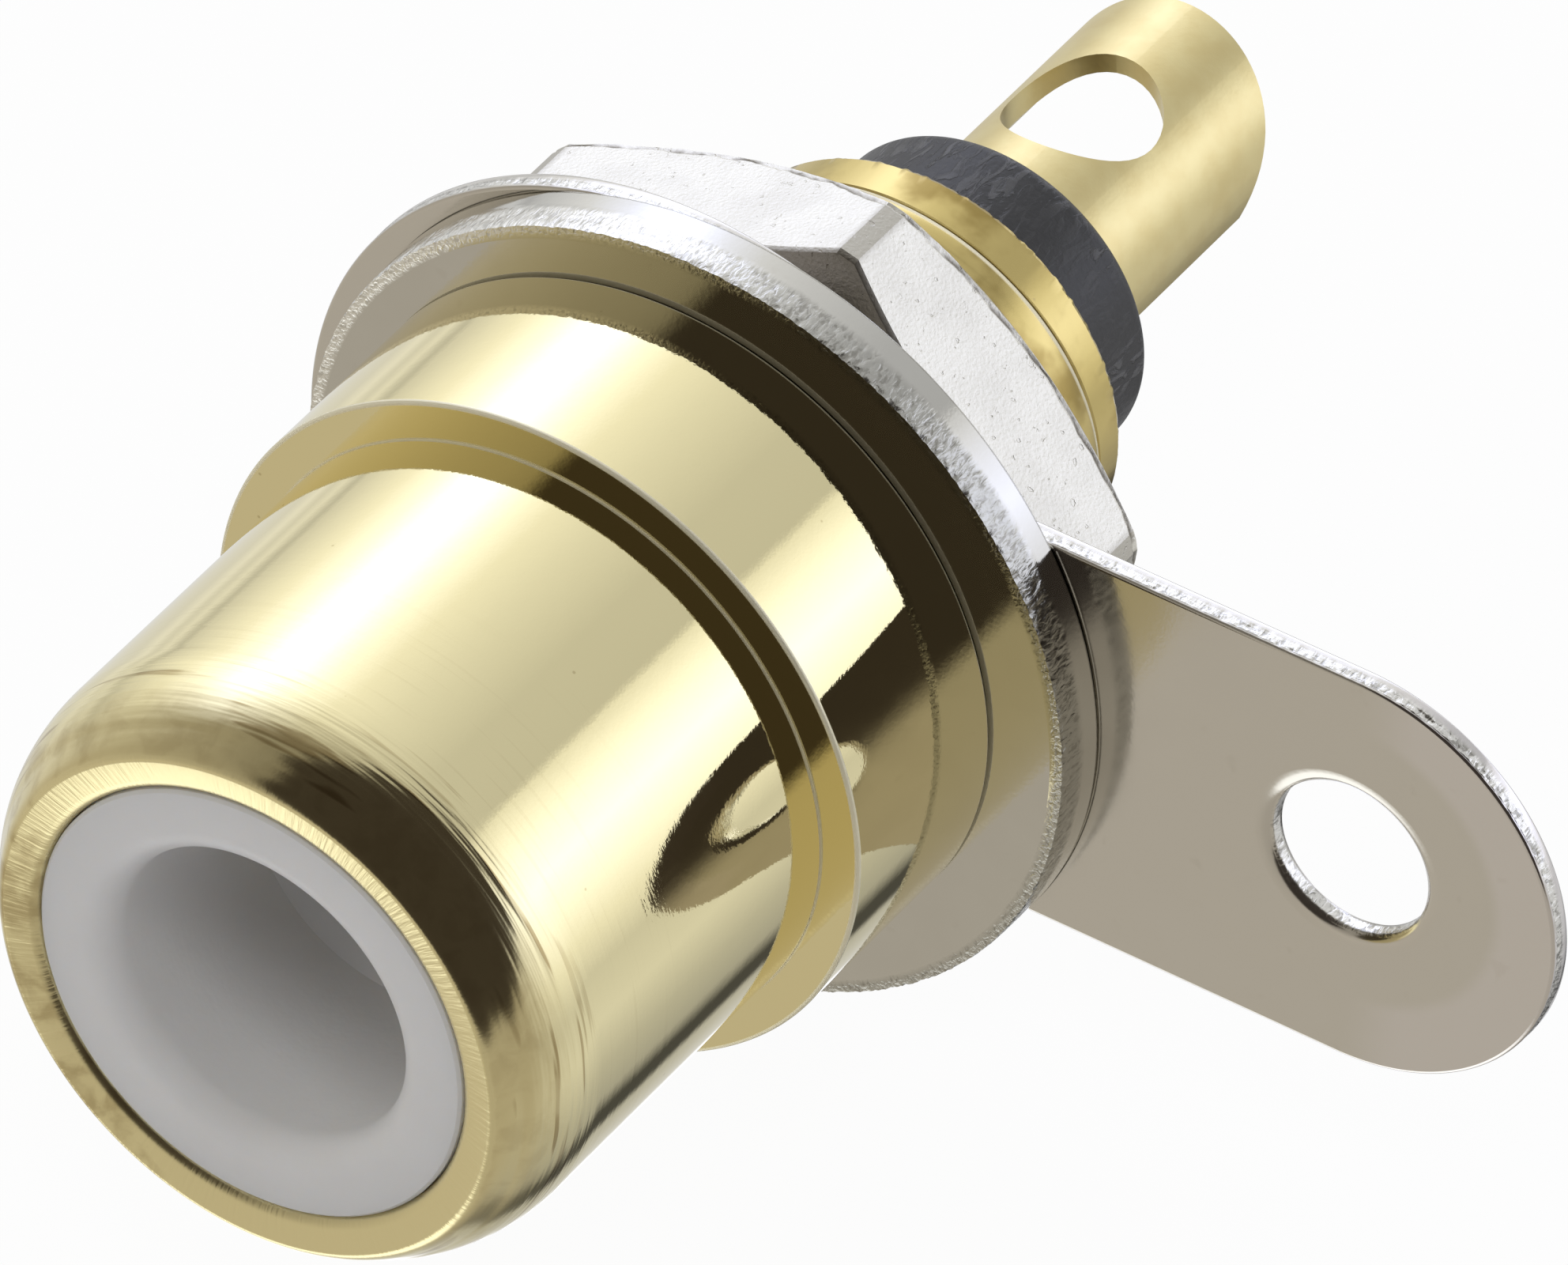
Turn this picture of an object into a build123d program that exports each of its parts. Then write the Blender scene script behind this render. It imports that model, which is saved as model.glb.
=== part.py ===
from build123d import *
import math
import os

# Phono (coaxial) panel socket, gold plated, with washer, solder tag and nut.
# Sizes are in millimetres. The socket's axis is Y: its mouth faces -Y and its
# solder end +Y. The origin is on the axis, in the plane of the shoulder's rear
# face, which is where the panel bears. +X is the way the solder tag points.

# Turned brass shell, outside
barrel_d = 8.3             # mating barrel that the plug's sleeve grips
barrel_len = 6.25          # from the nose to the shoulder's front face
shoulder_d = 9.38
shoulder_len = 2.9
thread_d = 6.0             # major diameter of the M6 x 0.75 shank
thread_len = 4.95
tail_d = 5.84              # plain end behind the thread
tail_len = 0.74
nose_round_radial = 0.9    # the nose is rolled over in a long, soft curve
nose_round_axial = 1.55
lip_bore_d = 6.14          # opening in the rolled lip
lip_round = 0.14
lip_thickness = 0.45
shoulder_chamfer = 0.07
tail_chamfer = 0.08

# Turned brass shell, inside
cavity_d = 6.74            # holds the front insulator
cavity_floor = 1.0         # depth of the cavity's floor in front of the panel plane
shell_fit = 0.02           # radial clearance of a pressed insulator

# Front insulator
face_recess = 0.1          # white face behind the tip of the nose
mouth_d = 4.14
mouth_round = 0.42
mouth_depth = 3.15         # length of the wide mouth bore
guide_d = 3.5              # narrow ring that keeps the contact in
guide_len = 0.4

# Rear insulator
rear_insulator_d = 4.64    # visible head
rear_body_d = 4.3          # thinner body inside the threaded shank
head_depth = 0.7           # how far the head is let into the tail
rear_insulator_len = 1.63  # length that stands out of the tail
rear_insulator_round = 0.24

# Centre contact, rolled from sheet
sheet = 0.28
pin_d = 3.2                # plug pin that the sleeve takes
sleeve_end = 4.55          # where the sleeve starts to neck down, behind the panel plane
neck_len = 0.45
neck_d = 3.2
contact_fit = 0.05         # radial clearance of the contact in the insulators
slot_w = 0.34
slot_len = 4.8
slot_count = 4
seam_w = 0.12
pin_lead = 0.12
terminal_len = 4.41        # half-round solder tongue behind the rear insulator
terminal_trim = 0.17       # how much less than half a tube the tongue is
terminal_tilt = 20.0       # the tongue's open side faces this far round from the eye's far side
contact_turn = 4.0         # the contact is set a little round from upright
eye_d = 2.04
eye_from_end = 2.36
end_round = 2.56           # radius of the flat sheet's rounded end, as a multiple of the tongue's
end_span = 115.0           # how far round the tongue that rounding is followed, in degrees
end_steps = 5

# Flat washer
washer_over = 0.86         # how far the washer's rim reaches past the shoulder
washer_t = 0.78
washer_play = 0.23         # radial play on the thread
washer_lean = 0.9          # share of the play that the washer hangs to one side
washer_lean_angle = -17.0  # direction of that shift, from +X towards +Z

# Solder tag
tag_ring_under = 0.125     # how far the tag's ring stays inside the washer's rim
tag_t = 0.3
tag_play = 0.5
tag_lean = 0.9
tag_lean_angle = 200.0     # direction of that shift, from +X towards +Z
tongue_w = 5.94
tongue_reach = 9.74        # from the ring's centre to the centre of the end round
tag_hole_d = 2.2
tag_hole_offset = 0.14     # the hole sits a little above the tongue's middle
tag_dish_w = 0.3           # shallow dish pressed round the hole's front edge
tag_dish_depth = 0.07

# Hexagon nut
nut_over = 0.35            # how far the nut's corners reach past the shoulder
nut_corner_cut = 0.075     # what the lathe takes off each of the six corners
nut_t = 2.0
nut_chamfer_angle = 30.0
nut_face_under = 0.13      # the chamfer meets each face this far inside the flats
nut_thread_clearance = 0.04
nut_bore_chamfer = 0.25
nut_angle = 15.8           # a corner's place, from +X towards +Z
nut_stand_off = 0.28       # the nut is run up by hand, a little short of the tag

stack_gap = 0.015          # air between clamped faces


def turned(outline):
    """Solid of revolution; the outline's x is the radius and its y the place along the axis."""
    return revolve(make_face(outline), Axis.Y, 360)


def along_axis(sketch, start, length):
    """Extrude a sketch drawn in X and Z (seen from behind, Z up) along +Y."""
    plane = Plane(origin=(0, start, 0), x_dir=(1, 0, 0), z_dir=(0, -1, 0))
    return extrude(plane * sketch, -length)


def tube(outer_d, inner_d, start, end):
    """Plain tube about the axis, from one station to the other."""
    outline = Polyline(
        (inner_d / 2, start), (outer_d / 2, start), (outer_d / 2, end), (inner_d / 2, end),
        close=True,
    )
    return turned(outline)


# Sizes that follow the shoulder, because the same pieces clamp the panel against it
washer_d = shoulder_d + 2 * washer_over
tag_ring_d = washer_d - 2 * tag_ring_under
nut_turned_d = shoulder_d + 2 * nut_over
nut_across_flats = (nut_turned_d + 2 * nut_corner_cut) * math.cos(math.radians(30))
nut_face_d = nut_across_flats - 2 * nut_face_under

# Stations along the axis
nose_y = -(barrel_len + shoulder_len)
step_y = -shoulder_len
lip_y = nose_y + lip_thickness
floor_y = -cavity_floor
shank_end = thread_len + tail_len
head_y = shank_end - head_depth
guide_y = nose_y + face_recess + mouth_depth
contact_y = guide_y + guide_len
neck_end = sleeve_end + neck_len
rear_face = shank_end + rear_insulator_len
terminal_end = rear_face + terminal_len
washer_y = stack_gap
tag_y = washer_y + washer_t + stack_gap
nut_y = tag_y + tag_t + nut_stand_off


def make_shell():
    """Barrel with rolled nose, shoulder and threaded shank, bored through."""
    barrel_r = barrel_d / 2
    shoulder_r = shoulder_d / 2
    thread_r = thread_d / 2
    tail_r = tail_d / 2
    lip_r = lip_bore_d / 2
    bore_r = rear_body_d / 2 + shell_fit
    head_r = rear_insulator_d / 2 + shell_fit
    cavity_r = cavity_d / 2
    nose = EllipticalCenterArc(
        (barrel_r - nose_round_radial, nose_y + nose_round_axial),
        nose_round_radial, nose_round_axial, start_angle=-90, arc_size=90,
    )
    lip = CenterArc((lip_r + lip_round, nose_y + lip_round), lip_round, 180, 90)
    front = Line((lip_r + lip_round, nose_y), (barrel_r - nose_round_radial, nose_y))
    rest = Polyline(
        (barrel_r, nose_y + nose_round_axial),
        (barrel_r, step_y),
        (shoulder_r - shoulder_chamfer, step_y),
        (shoulder_r, step_y + shoulder_chamfer),
        (shoulder_r, -shoulder_chamfer),
        (shoulder_r - shoulder_chamfer, 0),
        (thread_r, 0),
        (thread_r, thread_len),
        (tail_r, thread_len + (thread_r - tail_r)),
        (tail_r, shank_end - tail_chamfer),
        (tail_r - tail_chamfer, shank_end),
        (head_r, shank_end),
        (head_r, head_y),
        (bore_r, head_y),
        (bore_r, floor_y),
        (cavity_r, floor_y),
        (cavity_r, lip_y),
        (lip_r, lip_y),
        (lip_r, nose_y + lip_round),
    )
    return turned([lip, front, nose, rest])


def make_front_insulator():
    """White sleeve behind the rolled lip; its ring keeps the contact from coming out."""
    face_y = nose_y + face_recess
    outer_r = cavity_d / 2 - shell_fit
    spigot_r = lip_bore_d / 2 - shell_fit
    mouth_r = mouth_d / 2
    guide_r = guide_d / 2
    seat_r = pin_d / 2 + sheet + contact_fit
    rounding = CenterArc((mouth_r + mouth_round, face_y + mouth_round), mouth_round, 180, 90)
    rest = Polyline(
        (mouth_r + mouth_round, face_y),
        (spigot_r, face_y),
        (spigot_r, lip_y),
        (outer_r, lip_y),
        (outer_r, floor_y),
        (seat_r, floor_y),
        (seat_r, contact_y),
        (guide_r, contact_y),
        (guide_r, guide_y + (mouth_r - guide_r)),
        (mouth_r, guide_y),
        (mouth_r, face_y + mouth_round),
    )
    return turned([rounding, rest])


def make_rear_insulator():
    """Black headed tube down the shank; its inner cone carries the contact's neck."""
    outer_r = rear_insulator_d / 2
    body_r = rear_body_d / 2
    seat_r = pin_d / 2 + sheet + contact_fit
    neck_r = neck_d / 2 + contact_fit
    edge = rear_insulator_round
    rounding = CenterArc((outer_r - edge, rear_face - edge), edge, 0, 90)
    rest = Polyline(
        (outer_r - edge, rear_face),
        (neck_r, rear_face),
        (neck_r, neck_end + contact_fit),
        (seat_r, sleeve_end + contact_fit),
        (seat_r, floor_y),
        (body_r, floor_y),
        (body_r, head_y),
        (outer_r, head_y),
        (outer_r, rear_face - edge),
    )
    return turned([rounding, rest])


def make_contact():
    """Rolled centre contact: slotted sleeve in front, half-round solder tongue behind."""
    pin_r = pin_d / 2
    neck_r = neck_d / 2
    outline = Polyline(
        (pin_r + pin_lead, contact_y),
        (pin_r + sheet, contact_y),
        (pin_r + sheet, sleeve_end),
        (neck_r, neck_end),
        (neck_r, terminal_end),
        (neck_r - sheet, terminal_end),
        (neck_r - sheet, neck_end),
        (pin_r, sleeve_end),
        (pin_r, contact_y + 2 * pin_lead),
        close=True,
    )
    contact = turned(outline)
    wide = 2 * pin_d
    for k in range(slot_count):
        slot = Pos(0, contact_y + slot_len / 2, -wide / 2) * Box(slot_w, slot_len, wide)
        slot_end = Pos(0, contact_y + slot_len, -wide / 2) * Cylinder(slot_w / 2, wide)
        contact -= Rot(0, 360 / slot_count * k, 0) * (slot + slot_end)
    length = terminal_end - contact_y
    contact -= Pos(0, contact_y + length / 2, -wide / 2) * Box(seam_w, length, wide)
    open_side = Pos(0, terminal_end, terminal_trim - wide / 2) * Box(wide, 2 * terminal_len, wide)
    contact -= Rot(0, terminal_tilt, 0) * open_side
    contact -= make_end_cut(neck_r, wide)
    contact -= Pos(0, terminal_end - eye_from_end, wide / 2) * Cylinder(eye_d / 2, wide)
    return Rot(0, -contact_turn, 0) * contact


def make_end_cut(neck_r, wide):
    """What the rounded end of the sheet leaves off once it is rolled, seen from the side."""
    round_r = end_round * neck_r
    points = []
    for k in range(end_steps + 1):
        turn = math.radians(end_span * k / end_steps)
        fall = round_r - math.sqrt(round_r ** 2 - (neck_r * turn) ** 2)
        points.append((terminal_end - fall, neck_r * math.cos(turn)))
    beyond = terminal_end + neck_r
    rest = Polyline(points[-1], (points[-1][0], -neck_r), (beyond, -neck_r), (beyond, neck_r), points[0])
    return extrude(Plane.YZ * make_face([Spline(*points), rest]), wide / 2, both=True)


def leaning(ring, shift, angle):
    """A loose ring moved to one side of the axis, angle from +X towards +Z."""
    way = math.radians(angle)
    return Pos(shift * math.cos(way), 0, shift * math.sin(way)) * ring


def make_washer():
    """Flat washer; it hangs to one side within its play."""
    bore_d = thread_d + 2 * washer_play
    ring = tube(washer_d, bore_d, washer_y, washer_y + washer_t)
    return leaning(ring, washer_lean * washer_play, washer_lean_angle)


def make_tag():
    """Ring with a parallel tongue, a full round end and a dished solder hole."""
    bore_d = thread_d + 2 * tag_play
    blank = Circle(tag_ring_d / 2) + Pos(tongue_reach / 2, 0) * Rectangle(tongue_reach, tongue_w)
    blank += Pos(tongue_reach, 0) * Circle(tongue_w / 2)
    blank -= Circle(bore_d / 2)
    blank -= Pos(tongue_reach, tag_hole_offset) * Circle(tag_hole_d / 2)
    tag = along_axis(blank, tag_y, tag_t)
    dish_profile = Polyline(
        (0, tag_y), (tag_hole_d / 2 + tag_dish_w, tag_y), (tag_hole_d / 2, tag_y + tag_dish_depth),
        (0, tag_y + tag_dish_depth), close=True,
    )
    tag -= Pos(tongue_reach, 0, tag_hole_offset) * turned(dish_profile)
    return leaning(tag, tag_lean * tag_play, tag_lean_angle)


def make_nut():
    """Hexagon nut, chamfered on both faces by the lathe."""
    face_r = nut_face_d / 2
    turned_r = nut_turned_d / 2
    bore_r = thread_d / 2 + nut_thread_clearance
    drop = (turned_r - face_r) * math.tan(math.radians(nut_chamfer_angle))
    hexagon = Rot(0, 0, nut_angle) * RegularPolygon(nut_across_flats / 2, 6, major_radius=False)
    hexagon = along_axis(hexagon, nut_y, nut_t)
    blank = Polyline(
        (bore_r + nut_bore_chamfer, nut_y),
        (face_r, nut_y),
        (turned_r, nut_y + drop),
        (turned_r, nut_y + nut_t - drop),
        (face_r, nut_y + nut_t),
        (bore_r + nut_bore_chamfer, nut_y + nut_t),
        (bore_r, nut_y + nut_t - nut_bore_chamfer),
        (bore_r, nut_y + nut_bore_chamfer),
        close=True,
    )
    return hexagon & turned(blank)


parts = {
    "shell_body": make_shell(),
    "front_insulator": make_front_insulator(),
    "rear_insulator": make_rear_insulator(),
    "centre_contact": make_contact(),
    "flat_washer": make_washer(),
    "solder_tag": make_tag(),
    "hex_nut": make_nut(),
}

os.makedirs("parts", exist_ok=True)
for name, shape in parts.items():
    export_step(shape, f"parts/{name}.step")
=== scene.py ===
import math

import bmesh
import bpy
from mathutils import Matrix, Vector, noise


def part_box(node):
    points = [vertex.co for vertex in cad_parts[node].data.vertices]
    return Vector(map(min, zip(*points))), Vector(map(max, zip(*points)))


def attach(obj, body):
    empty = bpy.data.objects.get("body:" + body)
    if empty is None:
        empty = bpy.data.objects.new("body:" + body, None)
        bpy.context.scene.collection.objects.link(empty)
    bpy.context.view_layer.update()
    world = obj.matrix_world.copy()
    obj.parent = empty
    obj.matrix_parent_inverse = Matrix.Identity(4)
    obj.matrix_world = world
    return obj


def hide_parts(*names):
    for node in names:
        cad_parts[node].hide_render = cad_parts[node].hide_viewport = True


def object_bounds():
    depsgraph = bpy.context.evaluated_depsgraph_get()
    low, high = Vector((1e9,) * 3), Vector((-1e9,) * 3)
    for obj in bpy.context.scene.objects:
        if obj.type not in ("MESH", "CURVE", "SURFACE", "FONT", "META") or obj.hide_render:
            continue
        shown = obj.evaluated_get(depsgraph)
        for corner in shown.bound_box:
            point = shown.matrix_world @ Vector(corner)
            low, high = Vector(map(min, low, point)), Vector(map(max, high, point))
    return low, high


# Phono panel socket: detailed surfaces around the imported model, in its frame.
# The socket's axis is Y, the mouth faces -Y, and the solder tag points along +X.
# Sizes below are in millimetres; MM turns them into Blender's metres.

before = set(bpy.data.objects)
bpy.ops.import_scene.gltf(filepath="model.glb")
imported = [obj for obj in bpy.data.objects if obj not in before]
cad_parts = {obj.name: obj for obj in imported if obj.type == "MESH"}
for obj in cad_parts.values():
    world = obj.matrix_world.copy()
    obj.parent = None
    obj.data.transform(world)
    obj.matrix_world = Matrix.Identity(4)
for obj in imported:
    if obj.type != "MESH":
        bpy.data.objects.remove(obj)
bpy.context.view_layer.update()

MM = 0.001
TURN = 2 * math.pi
MERGE_DISTANCE = 2e-7  # in metres
PLAIN_SIDES = 256

# Shell
SHELL_SIDES = 512
BARREL_R = 4.15
BARREL_MID_Y = -5.0
NOSE_Y = -9.15
NOSE_ROUND_RADIAL = 0.9
NOSE_ROUND_AXIAL = 1.55
NOSE_FADE = (1.0, 1.7)  # the turning lines end between these distances behind the nose's front
LIP_R = 3.07
LIP_DEPTH = 0.45
LIP_TURN = (0.14, 0.11)  # how far the rolled lip rounds down into its bore, across and along
CREST_R = 3.5  # outer edge of the band that the rolling tool left, which slopes inwards
CREST_SLOPE = 0.21
CREST_JOIN = 0.33  # width of the curve from there to the nose's ellipse
JOIN_STEPS = 20
CREST_SET_BACK = 0.005  # the band's outer edge lies this far behind the nose's front
CREST_FADE = 0.12  # width over which the band's brush marks end
CREST_REACH = 0.3  # the band lies within this distance of the nose's front
ROW_SPACE = 0.01  # the ellipse's own rows start this far outside the join
STEP_Y = -2.9
SHOULDER_R = 4.69
SHOULDER_EDGE = 0.045
EDGE_GUARD = 1.4  # the next row beyond the shoulder's edge, in that edge's radii
EDGE_BEND = (0.6, 0.15)  # points in the front edge's round, from both faces, in its radii
REAR_BEND = 0.4  # point in the rear edge's round, from both faces, in its radii
# Painted highlights lie along the shoulder's edges and in the corner of barrel and step
EDGE_MARK = 1.1  # the edge is marked bright up to here, in its radii
CORNER_LINE = 0.035  # width of the bright line in the corner of barrel and step
LINE_GUARD = 1.3  # the next row beyond that line, in its widths
CAVITY_R = 3.37
CAVITY_FLOOR_Y = -1.0
SHANK_BORE_R = 2.17
# The shank's painted shade, a darker gold, starts here
SHANK_FROM_Y = 0.5  # the shank's deeper tone starts here
THREAD_R = 3.0
THREAD_PITCH = 0.75
THREAD_DEPTH = 0.4
THREAD_FADE = (4.1, 4.75)  # the groove runs out between these stations
THREAD_RISE = 0.2  # the groove reaches its depth this far behind the shoulder
# One pitch of the thread's section, as shares of the pitch and of the depth
THREAD_SECTION = ((0.0, 0.0), (0.12, 0.0), (0.15, 0.06), (0.40, 0.92), (0.46, 1.0), (0.62, 1.0),
                  (0.68, 0.92), (0.93, 0.06))
CREST_END_Y = 5.04
CREST_END_ANGLE = 85.0  # the last crest is shortest here
CREST_END_SWAY = 0.45  # and longer by this share of the pitch on the other side
# Painted highlight on the last crest's rounded end
STRIP_MARK = 0.9  # how bright the rounded end of the last crest is
GROOVE_R = 2.885
TAIL_R = 2.92
TAIL_PLAIN_Y = 5.45
TAIL_END_Y = 5.69
TAIL_BURR = 0.012  # height of the burr before the tail's edge
TAIL_RAGGED = 0.02  # unevenness of that edge
TAIL_ROUND = 0.1
HEAD_SEAT_R = 2.34
HEAD_SEAT_Y = 4.99
HEAD_SEAT_EDGE = 0.05
# Rows from the last crest down to the tail: radius, and distance behind the crest's end
CREST_FALL = ((THREAD_R, -0.15), (THREAD_R - 0.02, -0.1), (THREAD_R - 0.05, -0.045),
              (GROOVE_R, 0.02), (TAIL_R - 0.006, 0.045))

# Front insulator
FACE_Y = -9.05
MOUTH_R = 2.07
MOUTH_ROUND = 0.42
MOUTH_DEPTH = 3.15
GUIDE_R = 1.75
GUIDE_LEN = 0.4
SPIGOT_R = 3.05
SPIGOT_EDGE = 0.04
INSULATOR_R = 3.35
CONTACT_SEAT_R = 1.93

# Rear insulator
HEAD_R = 2.32
HEAD_ROUND = 0.24
REAR_FACE_Y = 7.32
REAR_BODY_R = 2.15
NECK_SEAT_R = 1.65
NECK_PLAY = 0.05  # between the contact's neck and its seat, along the axis

# Centre contact
SHEET = 0.28
SLEEVE_R = 1.88
SLEEVE_EDGE = 0.1
NECK_R = 1.6
CONTACT_Y = -5.5
SLEEVE_END_Y = 4.55
NECK_END_Y = 5.0
TERMINAL_END_Y = 11.73
TERMINAL_TRIM = 0.17  # distance from the axis to the plane that cuts the tongue
TERMINAL_TILT = 20.0
CONTACT_TURN = 4.0
EYE_R = 1.02
EYE_Y = 9.37
SLOT_W = 0.34
SLOT_HALF = SLOT_W / 2 / SLEEVE_R  # as an angle
SLOT_LEN = 4.8
SEAM_W = 0.12
END_ROUND = 2.56  # radius of the flat sheet's round end, in neck radii
EYE_COLUMNS = 12  # columns of faces in half of the eye
SHEET_COLUMNS = 14  # and in each stretch of sheet beside it
EYE_ROWS = 10  # rows of faces before the eye
END_ROWS = 12  # and behind it

# Flat washer
RIM_SIDES = 1024
WASHER_PLAY = 0.23  # between its bore and the thread
WASHER_EDGE = 0.03
WASHER_REAR_ROUND = 0.05
WASHER_REAR_BEND = 0.015
RIM_ROWS = 26
RIM_GUARDS = (0.2, 0.11)  # rows in the front face, inside the rim
RIM_MARK = 0.12  # what lies further in than this has no torn mark
TORN_SHARE = 0.52  # share of the thickness at which the tear ends, on average
TORN_MARK_FADE = (0.4, 0.62)  # shares of the thickness between which the torn mark ends
TORN_CUT = 0.003  # the tear stands this far back
CHIP_DEPTH = 0.016  # and its chips up to about this much further
ROLLED_SHARE = 0.1  # share of the thickness over which the front edge is rolled in
ROLLED_SLOPE = 0.15

# Solder tag
TAG_BORE_R = 3.5
TONGUE_HALF = 2.97
TAG_HOLE_R = 1.1
TAG_HOLE_SIDES = 160
TAG_HOLE_RAISE = 0.14  # the hole lies this far above the tongue's middle
TAG_SPACING = 0.04  # between the points of its outline
TAG_HOLE_PLACE = (9.317, 0.88, -0.014)  # the hole's centre in the front face, for the paint
# Edges from front to rear: inset, share of the thickness, unevenness and torn mark
TAG_RIM = [(0.055, 0.0), (0.032, 0.02), (0.015, 0.06), (0.006, 0.13)]
TAG_RIM += [(0.004, 0.22 + 0.06 * k, 0.03, 1.0) for k in range(6)]
TAG_RIM += [(0.0, 0.62, 0.006, 0.3), (0.0, 0.75), (0.0, 0.9), (0.01, 0.97), (0.03, 1.0)]
TAG_DISH = [(0.22, 0.0), (0.17, 0.01), (0.12, 0.04), (0.08, 0.09), (0.04, 0.17)]
TAG_DISH += [(0.01, 0.27, 0.0, 0.8), (0.0, 0.4, 0.004, 1.0), (0.0, 0.62, 0.012, 1.0)]
TAG_DISH += [(0.0, 0.75, 0.01, 1.0), (0.0, 0.9), (0.02, 1.0)]
TAG_BORE_EDGE = [(0.05, 0.0), (0.02, 0.03), (0.0, 0.12), (0.0, 0.9), (0.03, 1.0)]

# Nut
NUT_BORE_R = 3.04
NUT_LEAD = 0.25  # bevel at both ends of the bore
NUT_ANGLE = 15.8  # a corner's angle from +X
NUT_HALF_FLATS = 4.43
NUT_TURNED_R = 5.04  # the corners are turned off to this radius
NUT_FACE_R = 4.3
NUT_CHAMFER = math.tan(math.radians(30))
NUT_SOFT = 0.035  # radius of the softened edges
NUT_EDGE_DROP = 0.002  # the front edge's row in the chamfer stands this far back
NUT_EDGE_REACH = 1.6  # and its row on the side lies this many radii behind
NUT_BURR_R = 4.6  # radius at which the burr's unevenness is taken
# Rows of the rear burr: inset, distance in front of the chamfer, unevenness and seed
NUT_BURR = ((0.0, 0.12, 0.03, 11.0), (0.02, 0.08, 0.03, 11.0), (0.008, 0.03, 0.02, 13.0))
NUT_REAR_CHAMFER = (2.2, 4.0)  # insets of its rows, in softened radii
NUT_REAR_FACE = 4.1  # the rear face starts at least this far inside, in softened radii
NUT_SIDE_ROWS = (0.2, 0.4, 0.6, 0.8)
NUT_FLAT_STEPS = 60
NUT_CORNER_STEPS = 6
# Painted shade on the nut: its front face and chamfer beside the tag, and its turned corners
FACE_SHADE = 0.85  # how dark the front face and its chamfer are
CORNER_SHADE = 0.35  # how dark the turned corners are


# Mesh helpers
def place_object(name, data):
    """Object with its data, put into the scene."""
    piece = bpy.data.objects.new(name, data)
    bpy.context.scene.collection.objects.link(piece)
    return piece


def ring_faces(count, across):
    """Faces between closed rows of points, the last row joined to the first."""
    faces = []
    for i in range(count):
        n = (i + 1) % count
        for j in range(across):
            k = (j + 1) % across
            faces.append((i * across + j, i * across + k, n * across + k, n * across + j))
    return faces


def build_mesh(name, points, faces, sharp=30.0, marks=None):
    """Object from points in millimetres; marks are named numbers for each point."""
    mesh = bpy.data.meshes.new(name)
    mesh.from_pydata([(x * MM, y * MM, z * MM) for x, y, z in points], [], faces)
    for label, values in (marks or {}).items():
        layer = mesh.attributes.new(label, "FLOAT", "POINT")
        layer.data.foreach_set("value", values)
    work = bmesh.new()
    work.from_mesh(mesh)
    bmesh.ops.remove_doubles(work, verts=work.verts, dist=MERGE_DISTANCE)
    bmesh.ops.dissolve_degenerate(work, edges=work.edges, dist=MERGE_DISTANCE / 2)
    bmesh.ops.recalc_face_normals(work, faces=work.faces)
    work.to_mesh(mesh)
    work.free()
    mesh.shade_smooth()
    mesh.set_sharp_from_angle(angle=math.radians(sharp))
    mesh.update()
    return place_object(name, mesh)


def arc(centre_r, centre_y, across, along, start, sweep, steps):
    """Points (radius, y) of an elliptical arc; angles in degrees from +radius towards +y."""
    points = []
    for k in range(steps + 1):
        a = math.radians(start + sweep * k / steps)
        points.append((centre_r + across * math.cos(a), centre_y + along * math.sin(a)))
    return points


def even_angles(count):
    return [TURN * k / count for k in range(count)]


def turned_piece(name, rows, angles, sharp=30.0, shift=(0.0, 0.0), marks=None, faces=None):
    """Closed surface round the Y axis.

    Rows are (radius, y) pairs or functions of the angle. marks gives a point's named numbers from
    its row, radius, y and angle.
    """
    points, values = [], {}
    for row in rows:
        for a in angles:
            r, y = row(a) if callable(row) else row
            points.append((shift[0] + r * math.cos(a), y, shift[1] + r * math.sin(a)))
            for label, value in (marks(row, r, y, a) if marks else {}).items():
                values.setdefault(label, []).append(value)
    return build_mesh(name, points, faces or ring_faces(len(rows), len(angles)), sharp, values)


def smooth_step(low, high, value):
    t = min(1.0, max(0.0, (value - low) / (high - low)))
    return t * t * (3 - 2 * t)


def rough(x, y, z, size, seed=0.0):
    """Smooth noise from -1 to 1 whose lumps are about size millimetres across."""
    return noise.noise(Vector((x / size + seed, y / size - seed, z / size + 2 * seed)))


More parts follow.
